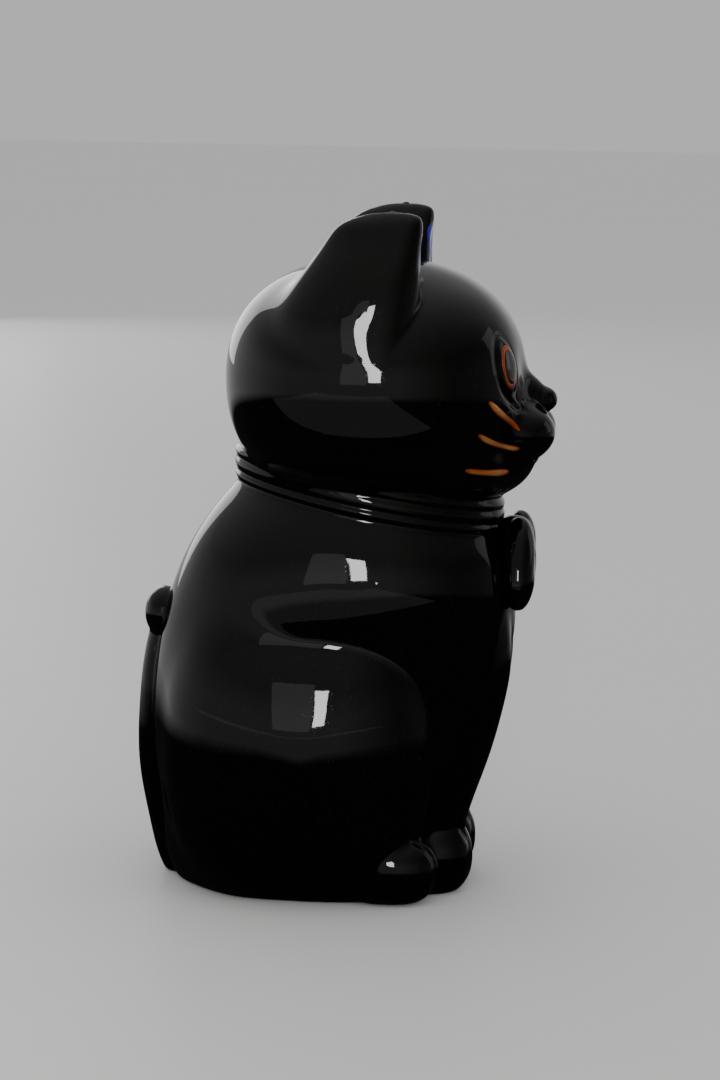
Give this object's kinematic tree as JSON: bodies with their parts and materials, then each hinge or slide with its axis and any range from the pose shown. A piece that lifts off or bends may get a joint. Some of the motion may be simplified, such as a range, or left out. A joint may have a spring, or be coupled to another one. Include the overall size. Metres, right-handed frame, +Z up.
{
  "type": "ceramic cat figurine",
  "caption": "Seated glossy black ceramic kitten with a collar and bow, raised whiskers in gold lustre and a tail curled up its back",
  "frame": {"origin": "on the surface that the cat stands on, under the middle of its outline", "axes": "+Z up, -Y the way the cat faces, +X the cat's left"},
  "size_m": [0.0894, 0.1087, 0.1776],
  "materials": {
    "black_glaze": "thick black glaze, mirror gloss",
    "red_clay": "unglazed fired clay, matte",
    "gold_lustre": "fired gold lustre, satin",
    "pupil_enamel": "black enamel, gloss",
    "cobalt_enamel": "cobalt blue enamel, gloss",
    "pink_enamel": "pale pink enamel, gloss"
  },
  "bodies": {
    "root": {"torso_shell": "black_glaze", "foot_plate": "red_clay", "head_shell": "black_glaze", "ear_left": "black_glaze", "ear_right": "black_glaze", "haunch_left": "black_glaze", "haunch_right": "black_glaze", "foreleg_left": "black_glaze", "foreleg_right": "black_glaze", "forepaw_left": "black_glaze", "forepaw_right": "black_glaze", "hind_foot_left": "black_glaze", "hind_foot_right": "black_glaze", "tail": "black_glaze", "collar_band": "black_glaze", "bow_knot": "black_glaze", "bow_loop_left": "black_glaze", "bow_loop_right": "black_glaze", "nose_pad": "black_glaze", "eye_iris_left": "gold_lustre", "eye_iris_right": "gold_lustre", "eye_pupil_left": "pupil_enamel", "eye_pupil_right": "pupil_enamel", "whisker_left_1": "gold_lustre", "whisker_left_2": "gold_lustre", "whisker_left_3": "gold_lustre", "whisker_right_1": "gold_lustre", "whisker_right_2": "gold_lustre", "whisker_right_3": "gold_lustre", "inner_ear_left": "cobalt_enamel", "inner_ear_right": "cobalt_enamel", "mouth_stroke": "pink_enamel"}
  },
  "joints": []
}
